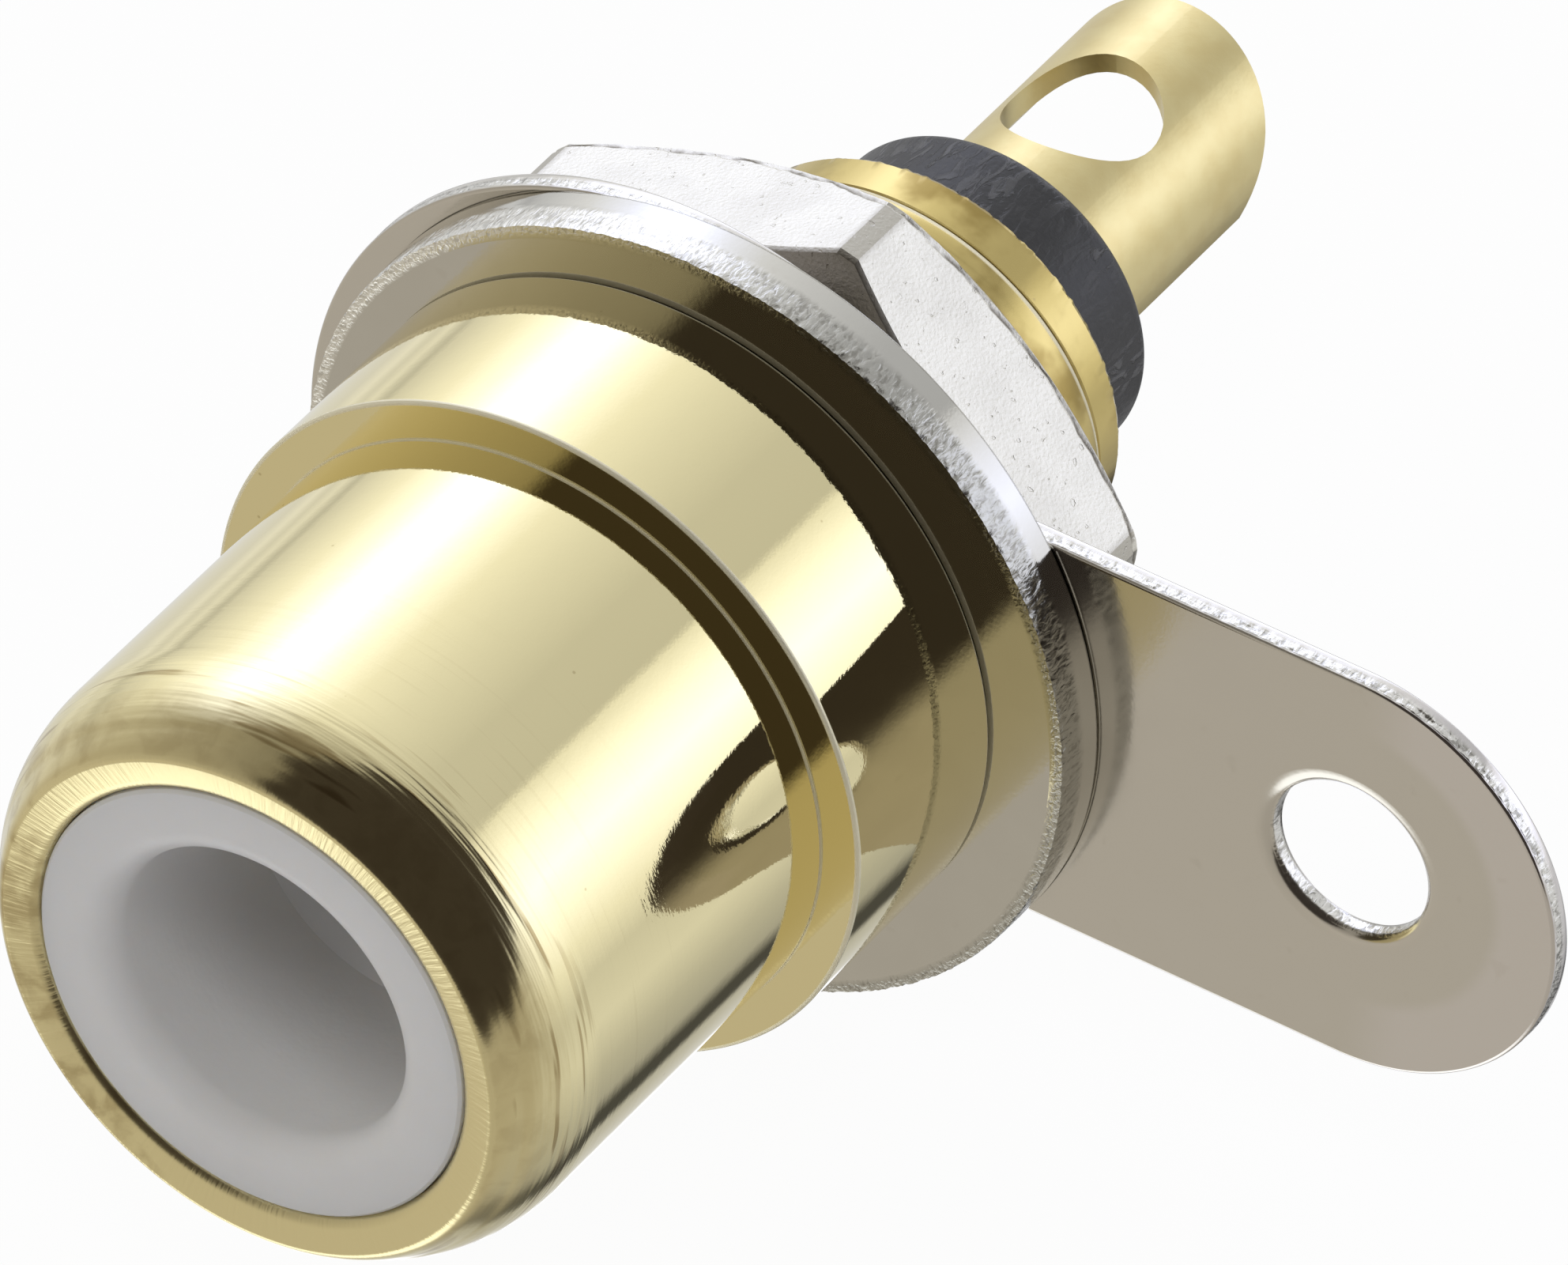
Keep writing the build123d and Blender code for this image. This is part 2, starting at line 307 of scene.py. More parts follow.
# Pieces
def shell_front_rows():
    """Outside of the shell from the lip's bore over nose, barrel and shoulder to the thread."""
    join_r = CREST_R + CREST_JOIN
    nose = arc(BARREL_R - NOSE_ROUND_RADIAL, NOSE_Y + NOSE_ROUND_AXIAL,
               NOSE_ROUND_RADIAL, NOSE_ROUND_AXIAL, -90, 90, 40)
    nose = [(r, y) for r, y in nose if r > join_r + ROW_SPACE]
    # Depth and slope of the ellipse where the band's curve meets it
    across = (join_r - BARREL_R) / NOSE_ROUND_RADIAL + 1
    join_drop = NOSE_ROUND_AXIAL * (1 - math.sqrt(1 - across ** 2))
    join_slope = NOSE_ROUND_AXIAL / NOSE_ROUND_RADIAL * across / math.sqrt(1 - across ** 2)
    lip = []
    turn_r, turn_y = LIP_TURN
    for r, y in arc(LIP_R + turn_r, turn_y, turn_r, turn_y, 180, 90, 16):
        lip.append((r, NOSE_Y + y + CREST_SLOPE * (CREST_R - r) + CREST_SET_BACK))
    for k in range(JOIN_STEPS + 1):
        t = k / JOIN_STEPS
        start = (1 + 2 * t) * (1 - t) ** 2 * CREST_SET_BACK
        start -= t * (1 - t) ** 2 * CREST_JOIN * CREST_SLOPE
        end = t * t * (3 - 2 * t) * join_drop - t * t * (1 - t) * CREST_JOIN * join_slope
        lip.append((CREST_R + CREST_JOIN * t, NOSE_Y + CREST_SET_BACK + start + end))
    line, edge = CORNER_LINE, SHOULDER_EDGE
    far, near = EDGE_BEND
    rows = lip + nose
    rows += [(BARREL_R, BARREL_MID_Y), (BARREL_R, STEP_Y - LINE_GUARD * line)]
    rows += [(BARREL_R, STEP_Y - line), (BARREL_R, STEP_Y), (BARREL_R + line, STEP_Y)]
    rows += [(BARREL_R + LINE_GUARD * line, STEP_Y), (SHOULDER_R - EDGE_GUARD * edge, STEP_Y)]
    rows += [(SHOULDER_R - edge, STEP_Y), (SHOULDER_R - far * edge, STEP_Y + near * edge)]
    rows += [(SHOULDER_R - near * edge, STEP_Y + far * edge), (SHOULDER_R, STEP_Y + edge)]
    rows += [(SHOULDER_R, STEP_Y + EDGE_GUARD * edge), (SHOULDER_R, -EDGE_GUARD * edge)]
    rows += [(SHOULDER_R, -edge), (SHOULDER_R - REAR_BEND * edge, -REAR_BEND * edge)]
    rows += [(SHOULDER_R - edge, 0.0), (SHOULDER_R - EDGE_GUARD * edge, 0.0)]
    return rows


def thread_rows():
    """Rows that follow the helix, so that crests and roots stay crisp; right-hand thread."""
    turns = int((THREAD_FADE[1] + THREAD_PITCH) / THREAD_PITCH) + 2

    def row(station, depth):
        def place(a):
            y = station - THREAD_PITCH * a / TURN
            held = min(THREAD_FADE[1], max(0.0, y))
            rise = smooth_step(0.0, THREAD_RISE, held)
            fade = 1.0 - smooth_step(THREAD_FADE[0], THREAD_FADE[1], held)
            return THREAD_R - THREAD_DEPTH * depth * rise * fade, held
        return place

    return [row((turn + share) * THREAD_PITCH, depth)
            for turn in range(turns) for share, depth in THREAD_SECTION]


def crest_end(a):
    """Where the last crest falls off to the tail, which changes round the shank with the helix."""
    behind = ((math.radians(CREST_END_ANGLE) - a) % TURN) / TURN
    sway = smooth_step(0.0, 1.0, 1.0 - abs(2 * behind - 1.0))
    return CREST_END_Y + CREST_END_SWAY * THREAD_PITCH * sway


def shell_tail_rows():
    """Crest end, shallow groove and tail, with its burred edge, then back down the bores."""
    def behind_crest(radius, distance):
        return lambda a: (radius, crest_end(a) + distance)

    def uneven(a, size, seed=0.0):
        return rough(THREAD_R * math.cos(a), 0.0, THREAD_R * math.sin(a), size, seed)

    # The burr stands out just before the rear edge, and the edge itself is uneven
    def burr(a):
        lift = TAIL_BURR * abs(uneven(a, 0.12))
        return TAIL_R + 0.4 * lift, TAIL_END_Y - 0.07 + 0.4 * lift

    def lip(a):
        lift = TAIL_RAGGED * uneven(a, 0.1, 3.0)
        return TAIL_R - 0.03 + lift, TAIL_END_Y - 0.015 + 0.3 * lift

    rows = [behind_crest(radius, distance) for radius, distance in CREST_FALL]
    rows += [(TAIL_R, TAIL_PLAIN_Y), burr, lip, (TAIL_R - TAIL_ROUND, TAIL_END_Y)]
    rows += [(HEAD_SEAT_R + HEAD_SEAT_EDGE, TAIL_END_Y), (HEAD_SEAT_R, TAIL_END_Y - HEAD_SEAT_EDGE)]
    rows += [(HEAD_SEAT_R, HEAD_SEAT_Y), (SHANK_BORE_R, HEAD_SEAT_Y)]
    rows += [(SHANK_BORE_R, CAVITY_FLOOR_Y), (CAVITY_R, CAVITY_FLOOR_Y)]
    rows += [(CAVITY_R, NOSE_Y + LIP_DEPTH), (LIP_R, NOSE_Y + LIP_DEPTH)]
    return rows


def shell_marks(r, y):
    """Marks for the paint: the turned nose, its brushed band, painted highlights on edges, and the
    shank.
    """
    nose = 1.0 - smooth_step(NOSE_Y + NOSE_FADE[0], NOSE_Y + NOSE_FADE[1], y)
    crest = 1.0 - smooth_step(CREST_R, CREST_R + CREST_FADE, r) if y < NOSE_Y + CREST_REACH else 0.0
    # The corner mark is a painted highlight on the corner line and the shoulder's edges
    line = abs(r - BARREL_R) <= CORNER_LINE and abs(y - STEP_Y) <= CORNER_LINE + 1e-6
    edge = EDGE_MARK * SHOULDER_EDGE
    rim = r > SHOULDER_R - edge and min(abs(y - STEP_Y), abs(y)) <= edge
    shank = 1.0 if y > SHANK_FROM_Y and r >= HEAD_SEAT_R + HEAD_SEAT_EDGE else 0.0
    return {"nose": nose, "crest": crest, "corner": 1.0 if line or rim else 0.0, "shank": shank}


def make_shell():
    """Body in one surface, whose thread rows meet at the seam a pitch further on."""
    front, thread, tail = shell_front_rows(), thread_rows(), shell_tail_rows()
    rows = front + thread + tail
    first = len(front)
    last = first + len(thread) - 1
    strip = tail[1:3]  # the last crest's rounded end

    # The last crest's rounded end gets a painted highlight through the corner mark
    def marks(row, r, y, a):
        found = shell_marks(r, y)
        if row in strip:
            found["corner"] = STRIP_MARK
        return found

    def across_seam(i):
        """Row that row i meets after a full turn: in the thread, the one a pitch before it."""
        return max(first, i - len(THREAD_SECTION)) if first <= i <= last else i

    sides = SHELL_SIDES
    faces = []
    for i in range(len(rows)):
        n = (i + 1) % len(rows)
        here, there = i * sides, n * sides
        for j in range(sides - 1):
            faces.append((here + j, here + j + 1, there + j + 1, there + j))
        far_here, far_there = across_seam(i) * sides, across_seam(n) * sides
        corners = (here + sides - 1, far_here, far_there, there + sides - 1)
        faces.append(tuple(dict.fromkeys(corners)))
    return turned_piece("shell_surface", rows, even_angles(sides), sharp=24.0, marks=marks,
                        faces=faces)


def make_front_insulator():
    """White sleeve: rounded mouth, face behind the lip, and the ring that holds the contact."""
    guide_y = FACE_Y + MOUTH_DEPTH
    contact_y = guide_y + GUIDE_LEN
    rows = arc(MOUTH_R + MOUTH_ROUND, FACE_Y + MOUTH_ROUND, MOUTH_ROUND, MOUTH_ROUND, 180, 90, 16)
    rows += [(SPIGOT_R - SPIGOT_EDGE, FACE_Y), (SPIGOT_R, FACE_Y + SPIGOT_EDGE)]
    rows += [(SPIGOT_R, NOSE_Y + LIP_DEPTH), (INSULATOR_R, NOSE_Y + LIP_DEPTH)]
    rows += [(INSULATOR_R, CAVITY_FLOOR_Y), (CONTACT_SEAT_R, CAVITY_FLOOR_Y)]
    rows += [(CONTACT_SEAT_R, contact_y), (GUIDE_R, contact_y)]
    rows += [(GUIDE_R, guide_y + MOUTH_R - GUIDE_R), (MOUTH_R, guide_y)]
    return turned_piece("front_insulator_surface", rows, even_angles(PLAIN_SIDES))


def make_rear_insulator():
    """Black piece: rounded head behind the tail, and its body in the shank."""
    head_r, head_y = HEAD_R - HEAD_ROUND, REAR_FACE_Y - HEAD_ROUND
    rows = [(NECK_SEAT_R, REAR_FACE_Y), (head_r, REAR_FACE_Y)]
    rows += arc(head_r, head_y, HEAD_ROUND, HEAD_ROUND, 90, -90, 10)[1:]
    rows += [(HEAD_R, HEAD_SEAT_Y), (REAR_BODY_R, HEAD_SEAT_Y), (REAR_BODY_R, CAVITY_FLOOR_Y)]
    rows += [(CONTACT_SEAT_R, CAVITY_FLOOR_Y), (CONTACT_SEAT_R, SLEEVE_END_Y + NECK_PLAY)]
    rows += [(NECK_SEAT_R, NECK_END_Y + NECK_PLAY)]
    return turned_piece("rear_insulator_surface", rows, even_angles(PLAIN_SIDES))


def make_washer():
    """Washer whose front rim is torn by the shear and whose rear rim is smooth."""
    low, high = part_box("flat_washer")
    y0, y1 = low[1] / MM, high[1] / MM
    outer = (high[0] - low[0]) / 2 / MM
    shift = ((high[0] + low[0]) / 2 / MM, (high[2] + low[2]) / 2 / MM)
    bore = THREAD_R + WASHER_PLAY
    thickness = y1 - y0

    def rim(depth):
        """Rim row at a share of the thickness; depth 0 is the front face."""
        def place(a):
            y = y0 + thickness * depth
            x, z = outer * math.cos(a), outer * math.sin(a)
            edge = TORN_SHARE + 0.1 * rough(x, 0, z, 0.5, 1.0) + 0.05 * rough(x, 0, z, 0.12, 2.0)
            torn = 1.0 - smooth_step(edge - 0.06, edge + 0.02, depth)
            coarse, fine = rough(x, 0.7 * y, z, 0.1, 4.0), rough(x, 1.2 * y, z, 0.05, 5.0)
            chips = abs(coarse) + 0.5 * abs(fine)
            cut = torn * (TORN_CUT + CHIP_DEPTH * chips)
            if depth < ROLLED_SHARE:
                cut += ROLLED_SLOPE * (ROLLED_SHARE - depth) * (0.6 + chips)
            return outer - cut, y
        return place

    rows = [(bore, y0 + WASHER_EDGE), (bore + WASHER_EDGE, y0)]
    rows += [(outer - inset, y0) for inset in RIM_GUARDS]
    rows += [rim(k / RIM_ROWS) for k in range(RIM_ROWS)]
    rows += [(outer, y1 - WASHER_REAR_ROUND), (outer - WASHER_REAR_BEND, y1 - WASHER_REAR_BEND)]
    rows += [(outer - WASHER_REAR_ROUND, y1), (bore + WASHER_EDGE, y1), (bore, y1 - WASHER_EDGE)]

    def marks(row, r, y, a):
        torn = 1.0 - smooth_step(*TORN_MARK_FADE, (y - y0) / thickness)
        return {"torn": torn if r > outer - RIM_MARK else 0.0}

    return turned_piece("flat_washer_surface", rows, even_angles(RIM_SIDES), sharp=32.0,
                        shift=shift, marks=marks)


def arc_points(cx, cz, radius, start, sweep, count, out=1):
    """Points (x, z) of an arc and their normals, which out=-1 turns towards its centre."""
    points = []
    for k in range(count):
        a = start + sweep * k / count
        c, s = math.cos(a), math.sin(a)
        points.append((cx + radius * c, cz + radius * s, out * c, out * s))
    return points


def outline_points(cx, cz, ring_r, tongue_end):
    """Outer outline of the tag, counter-clockwise, starting where the tongue leaves the ring."""
    meet = math.asin(TONGUE_HALF / ring_r)
    corner_x = cx + ring_r * math.cos(meet)
    count = int((tongue_end - corner_x) / TAG_SPACING)

    def side(start, end, out):
        way = (end - start) / count
        return [(start + way * k, cz + out * TONGUE_HALF, 0.0, out) for k in range(count)]

    round_end, ring = math.pi, TURN - 2 * meet
    points = side(corner_x, tongue_end, -1.0)
    points += arc_points(tongue_end, cz, TONGUE_HALF, -math.pi / 2, round_end,
                         int(round_end * TONGUE_HALF / TAG_SPACING))
    points += side(tongue_end, corner_x, 1.0)
    points += arc_points(cx, cz, ring_r, meet, ring, int(ring * ring_r / TAG_SPACING))
    return points


def make_tag():
    """Stamped plate: rolled front edge, torn rim and a dished hole, with flat faces filled in."""
    low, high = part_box("solder_tag")
    y0, y1 = low[1] / MM, high[1] / MM
    ring_r = (high[2] - low[2]) / 2 / MM
    cz = (high[2] + low[2]) / 2 / MM
    cx = low[0] / MM + ring_r
    tongue_end = high[0] / MM - TONGUE_HALF
    thick = y1 - y0
    plate = bmesh.new()
    torn = plate.verts.layers.float.new("torn")

    def loop(points, inset, depth, wobble=0.0, mark=0.0):
        """Ring of vertices moved into the metal by inset, at a share of the thickness."""
        ring = []
        for x, z, nx, nz in points:
            y = y0 + thick * depth
            coarse, fine = rough(x, 1.5 * y, z, 0.16, 6.0), rough(x, 1.5 * y, z, 0.07, 8.0)
            jitter = wobble * (coarse + 0.7 * fine)
            shift = inset + abs(jitter)
            place = (x - nx * shift, y + 0.25 * jitter, z - nz * shift)
            vertex = plate.verts.new([value * MM for value in place])
            vertex[torn] = mark
            ring.append(vertex)
        return ring

    def wall(points, steps):
        """Strip of loops down one edge; the first and last lie in the faces."""
        loops = [loop(points, *step) for step in steps]
        for upper, lower in zip(loops, loops[1:]):
            for k in range(len(points)):
                n = (k + 1) % len(points)
                plate.faces.new((upper[k], upper[n], lower[n], lower[k]))
        return loops[0], loops[-1]

    # Holes go round the other way, and their normals point out of the metal too
    outer = outline_points(cx, cz, ring_r, tongue_end)
    hole = arc_points(tongue_end, cz + TAG_HOLE_RAISE, TAG_HOLE_R, 0.0, -TURN, TAG_HOLE_SIDES, -1)
    bore = arc_points(cx, cz, TAG_BORE_R, 0.0, -TURN, PLAIN_SIDES, -1)
    fronts, backs = [], []
    for points, steps in ((outer, TAG_RIM), (hole, TAG_DISH), (bore, TAG_BORE_EDGE)):
        front, back = wall(points, steps)
        fronts.append(front)
        backs.append(back)
    for rings in (fronts, backs):
        edges = []
        for ring in rings:
            for pair in zip(ring, ring[1:] + ring[:1]):
                edge = plate.edges.get(pair)
                edge.smooth = False
                edges.append(edge)
        bmesh.ops.triangle_fill(plate, use_beauty=True, edges=edges)
    bmesh.ops.recalc_face_normals(plate, faces=plate.faces)
    mesh = bpy.data.meshes.new("solder_tag_surface")
    plate.to_mesh(mesh)
    plate.free()
    mesh.shade_smooth()
    return place_object("solder_tag_surface", mesh)


def nut_angles():
    """Angles for the nut's columns: even ones, and those where flats meet the turned corners."""
    half = math.acos(NUT_HALF_FLATS / NUT_TURNED_R)
    corner = math.radians(NUT_ANGLE)
    angles = []
    for k in range(6):
        flat = corner + TURN / 12 + TURN / 6 * k
        for t in range(NUT_FLAT_STEPS + 1):
            angles.append(flat - half + 2 * half * t / NUT_FLAT_STEPS)
        gap = TURN / 6 - 2 * half
        for t in range(1, NUT_CORNER_STEPS):
            angles.append(flat + half + gap * t / NUT_CORNER_STEPS)
    return angles


def nut_radius(a):
    """Outer radius at an angle: the flat, or the turned corner where that is nearer."""
    corner = math.radians(NUT_ANGLE)
    from_flat = (a - corner) % (TURN / 6) - TURN / 12
    return min(NUT_TURNED_R, NUT_HALF_FLATS / math.cos(from_flat))


def make_nut():
    """Hexagon nut: chamfered faces, softened edges, a ragged burr at the rear, and a plain bore."""
    low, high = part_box("hex_nut")
    y0, y1 = low[1] / MM, high[1] / MM

    def fall(r):
        """How far the chamfer lies behind the face at a radius."""
        return max(0.0, (r - NUT_FACE_R) * NUT_CHAMFER)

    def front_face(a):
        return min(NUT_FACE_R, nut_radius(a)), y0

    def front_chamfer(a):
        r = nut_radius(a) - NUT_SOFT
        return r, y0 + fall(r) + NUT_EDGE_DROP

    def front_side(a):
        r = nut_radius(a)
        return r, y0 + fall(r) + NUT_SOFT * NUT_EDGE_REACH

    def side(t):
        """Row on the side at a share of the way from the front edge to the rear one."""
        return lambda a: (nut_radius(a), front_side(a)[1] * (1 - t) + rear_side(a)[1] * t)

    def ragged(a, seed):
        x, z = NUT_BURR_R * math.cos(a), NUT_BURR_R * math.sin(a)
        lumps = rough(x, 0, z, 0.45, seed) + 0.6 * rough(x, 0, z, 0.12, seed + 1)
        return lumps * (1.0 + 1.5 * abs(rough(x, 0, z, 1.3, seed + 2)))

    def burr_row(inset, distance, unevenness, seed):
        """Ragged row by the rear edge, at a distance in front of the chamfer's outline."""
        def place(a):
            r = nut_radius(a)
            return r - inset, y1 - fall(r) - distance - unevenness * ragged(a, seed)
        return place

    def rear_row(inset):
        def place(a):
            r = nut_radius(a) - inset * NUT_SOFT
            return r, y1 - fall(r)
        return place

    def rear_face(a):
        return min(NUT_FACE_R, nut_radius(a) - NUT_REAR_FACE * NUT_SOFT), y1

    rear_side, crack, lip = (burr_row(*values) for values in NUT_BURR)
    chamfer, inside = (rear_row(inset) for inset in NUT_REAR_CHAMFER)
    front = [(NUT_BORE_R + NUT_LEAD, y0), front_face, front_chamfer]
    sides = [front_side] + [side(t) for t in NUT_SIDE_ROWS] + [rear_side]
    rows = front + sides + [crack, lip, chamfer, inside, rear_face]
    rows += [(NUT_BORE_R + NUT_LEAD, y1), (NUT_BORE_R, y1 - NUT_LEAD), (NUT_BORE_R, y0 + NUT_LEAD)]

    # The shade mark is painted shade on the front face, its chamfer and the turned corners
    def marks(row, r, y, a):
        turned = row in sides and nut_radius(a) > NUT_TURNED_R - 0.01
        shade = FACE_SHADE if row in front else CORNER_SHADE if turned else 0.0
        return {"burr": 1.0 if row in (crack, chamfer) else 0.0, "shade": shade}

    return turned_piece("hex_nut_surface", rows, nut_angles(), sharp=17.0, marks=marks)


def tongue_edge(radius, side):
    """Angle from the top at which the tongue's cut meets the sheet, on one side."""
    return math.radians(TERMINAL_TILT) + side * math.acos(TERMINAL_TRIM / radius)


def contact_columns():
    """Angles from the top round to the seam, for the sheet's outer and inner surface."""
    outer_r, inner_r = NECK_R, NECK_R - SHEET
    hole = (math.asin(EYE_R / outer_r), math.asin(EYE_R / inner_r))
    seam = math.pi - math.asin(SEAM_W / 2 / outer_r)
    left = (tongue_edge(outer_r, -1), tongue_edge(inner_r, -1))
    right = (tongue_edge(outer_r, 1), tongue_edge(inner_r, 1))
    anchors = [(-seam, -seam), left, (-hole[0], -hole[1]), hole, right, (seam, seam)]

    def inner_at(angle):
        if abs(angle) <= hole[0]:
            return math.asin(min(1.0, outer_r * math.sin(angle) / inner_r))
        for (a0, b0), (a1, b1) in zip(anchors, anchors[1:]):
            if a0 <= angle <= a1:
                return b0 + (b1 - b0) * (angle - a0) / (a1 - a0)
        return angle

    angles = []
    for k in range(1 - EYE_COLUMNS, EYE_COLUMNS):
        angles.append(math.asin(EYE_R * math.sin(math.pi / 2 * k / EYE_COLUMNS) / outer_r))
    for (a0, _), (a1, _) in zip(anchors, anchors[1:]):
        steps = 1 if a0 == -hole[0] else SHEET_COLUMNS
        angles += [a0 + (a1 - a0) * k / steps for k in range(steps)]
    angles.append(seam)
    for quarter in range(-2, 3):
        sides = (TURN / 4 * quarter - SLOT_HALF, TURN / 4 * quarter + SLOT_HALF)
        angles += [side for side in sides if abs(side) < seam]
    return [(a, inner_at(a)) for a in sorted(angles)]


def make_contact():
    """Rolled sheet: slotted sleeve, neck, and a half-round tongue with an eye and a rounded end."""
    columns = contact_columns()
    left_edge, right_edge = tongue_edge(NECK_R, -1), tongue_edge(NECK_R, 1)

    def end_at(z):
        """Where the tongue ends: a flat sheet's round end, rolled up with it."""
        turn = math.acos(max(-1.0, min(1.0, z / NECK_R)))
        round_r = END_ROUND * NECK_R
        return TERMINAL_END_Y - round_r + math.sqrt(max(0.0, round_r ** 2 - (NECK_R * turn) ** 2))

    def eye_half(x):
        return math.sqrt(max(0.0, EYE_R ** 2 - x ** 2))

    def before_eye(t):
        return lambda x, z: REAR_FACE_Y + (EYE_Y - eye_half(x) - REAR_FACE_Y) * t

    def behind_eye(t):
        return lambda x, z: (EYE_Y + eye_half(x)) * (1 - t) + end_at(z) * t

    # Each row is what lies between it and the next, its y at a place, and its outer radius
    stations = [("slotted", CONTACT_Y, SLEEVE_R - SLEEVE_EDGE)]
    stations += [("slotted", CONTACT_Y + SLEEVE_EDGE, SLEEVE_R)]
    stations += [("tube", CONTACT_Y + SLOT_LEN, SLEEVE_R), ("tube", SLEEVE_END_Y, SLEEVE_R)]
    stations += [("tube", NECK_END_Y, NECK_R), ("tongue", REAR_FACE_Y, NECK_R)]
    rows = [(kind, lambda x, z, y=y: y, r) for kind, y, r in stations]
    rows += [("tongue", before_eye(k / EYE_ROWS), NECK_R) for k in range(1, EYE_ROWS)]
    rows.append(("gap", before_eye(1.0), NECK_R))
    rows += [("tongue", behind_eye(k / END_ROWS), NECK_R) for k in range(END_ROWS + 1)]

    def vertex(row, pair, inner):
        _, place, radius = row
        r = radius - SHEET if inner else radius
        a = pair[1] if inner and radius == NECK_R else pair[0]
        x, z = r * math.sin(a), r * math.cos(a)
        return (x, place(x, z), z)

    def kept(i, j):
        """Whether there is metal between a row and a column and the next ones."""
        middle = (columns[j][0] + columns[j + 1][0]) / 2
        kind = rows[i][0]
        if kind == "slotted":
            quarter = (middle + math.pi / 4) % (math.pi / 2) - math.pi / 4
            return abs(quarter) > SLOT_HALF
        if kind == "tongue":
            return left_edge < middle < right_edge
        return kind == "tube"

    gap_row = [kind for kind, _, _ in rows].index("gap")
    limit = math.asin(EYE_R / NECK_R) - 1e-6

    def key(i, j):
        """Rows on both sides of the eye are one row where the eye has ended."""
        return (i - 1, j) if i == gap_row + 1 and abs(columns[j][0]) >= limit else (i, j)

    index, points = {}, []

    def number(i, j, inner):
        spot = key(i, j) + (inner,)
        if spot not in index:
            index[spot] = len(points)
            points.append(vertex(rows[spot[0]], columns[spot[1]], inner))
        return index[spot]

    faces, borders = [], {}
    for i in range(len(rows) - 1):
        for j in range(len(columns) - 1):
            if not kept(i, j):
                continue
            corners = [(i, j), (i, j + 1), (i + 1, j + 1), (i + 1, j)]
            faces.append([number(*c, False) for c in corners])
            faces.append([number(*c, True) for c in reversed(corners)])
            spots = [key(*c) for c in corners]
            for a, b in zip(spots, spots[1:] + spots[:1]):
                borders[(a, b)] = True
    # Edges that only one face has are the sheet's cut edges, closed across its thickness
    for a, b in borders:
        if (b, a) not in borders:
            faces.append([number(*b, False), number(*a, False), number(*a, True), number(*b, True)])
    faces = [face for face in faces if len(set(face)) > 2]
    piece = build_mesh("centre_contact_surface", points, faces, sharp=35.0)
    piece.data.transform(Matrix.Rotation(math.radians(CONTACT_TURN), 4, "Y").inverted())
    return piece


# Paints
class Nodes:
    """Makes shader nodes, whose inputs are fed by values or by other nodes' outputs."""

    def __init__(self, tree):
        self.tree = tree

    def feed(self, socket, value):
        if isinstance(value, bpy.types.NodeSocket):
            self.tree.links.new(value, socket)
        else:
            socket.default_value = value

    def node(self, kind, inputs=None, **settings):
        made = self.tree.nodes.new(kind)
        for key, value in settings.items():
            setattr(made, key, value)
        for key, value in (inputs or {}).items():
            self.feed(made.inputs[key], value)
        return made

    def math(self, operation, a, b=0.0, clamp=False):
        made = self.node("ShaderNodeMath", {0: a, 1: b}, operation=operation, use_clamp=clamp)
        return made.outputs[0]

    def product(self, a, b):
        return self.math("MULTIPLY", a, b)

    def range(self, value, low, high, out_low=0.0, out_high=1.0):
        """Eased from out_low to out_high while the value goes from low to high."""
        made = self.node("ShaderNodeMapRange", {"Value": value, "From Min": low, "From Max": high,
                                                "To Min": out_low, "To Max": out_high})
        made.interpolation_type = "SMOOTHSTEP"
        return made.outputs[0]


class Paint(Nodes):
    """One material's nodes; places are in millimetres."""

    def __init__(self, name):
        self.material = bpy.data.materials.new(name)
        self.material.use_nodes = True
        super().__init__(self.material.node_tree)
        self.shader = self.tree.nodes["Principled BSDF"]
        self.place = self.node("ShaderNodeTexCoord").outputs["Object"]
        self.height = None

    def scaled(self, scale=(1.0, 1.0, 1.0)):
        """The place in the piece in millimetres, times a scale for each axis."""
        factor = [s / MM for s in scale]
        return self.node("ShaderNodeMapping", {"Vector": self.place, "Scale": factor}).outputs[0]

    def noise(self, scale, detail=3.0, where=None, distortion=0.0):
        made = self.node("ShaderNodeTexNoise", {"Vector": where or self.scaled(), "Scale": scale,
                                                "Detail": detail, "Distortion": distortion})
        return made.outputs["Fac"]

    def cells(self, scale):
        made = self.node("ShaderNodeTexVoronoi", {"Vector": self.scaled(), "Scale": scale})
        return made.outputs["Distance"]

    def blend(self, factor, first, second):
        """Mix of two colours, whose sockets are 6 and 7, and output 2."""
        made = self.node("ShaderNodeMix", data_type="RGBA")
        self.feed(made.inputs[0], factor)
        for index, colour in ((6, first), (7, second)):
            value = colour if isinstance(colour, bpy.types.NodeSocket) else (*colour, 1.0)
            self.feed(made.inputs[index], value)
        return made.outputs[2]

    def mark(self, name):
        return self.node("ShaderNodeAttribute", attribute_name=name).outputs["Fac"]

    def bump(self, height, distance):
        """Adds one layer of relief; distance is in millimetres."""
        inputs = {"Height": height, "Distance": distance * MM, "Strength": 1.0}
        if self.height is not None:
            inputs["Normal"] = self.height
        self.height = self.node("ShaderNodeBump", inputs).outputs[0]

    def finish(self, **sockets):
        for key, value in sockets.items():
            self.feed(self.shader.inputs[key.replace("_", " ")], value)
        if self.height is not None:
            self.feed(self.shader.inputs["Normal"], self.height)
        return self.material


GOLD = (0.93, 0.84, 0.5)
GOLD_STAIN = (0.5, 0.4, 0.2)
# Painted highlight for edges, the corner line and the last crest's end
GOLD_PAINTED_HIGHLIGHT = (1.0, 0.95, 0.74)
# Painted shade: darker gold and dark olive patches on the shank stand in for the shade near the nut
GOLD_SHANK_SHADE = (0.66, 0.53, 0.21)
SHANK_SHADE_PATCH = (0.3, 0.21, 0.06)
GOLD_SATIN = (0.8, 0.69, 0.36)
GOLD_SATIN_DEEP = (0.68, 0.54, 0.24)
NUT_NICKEL = (0.82, 0.8, 0.725)
# Dark colour for pits, burr and random tone, and also for the nut's painted shade
NUT_DARK_AND_SHADE = (0.15, 0.125, 0.09)
WASHER_NICKEL = (0.66, 0.65, 0.61)
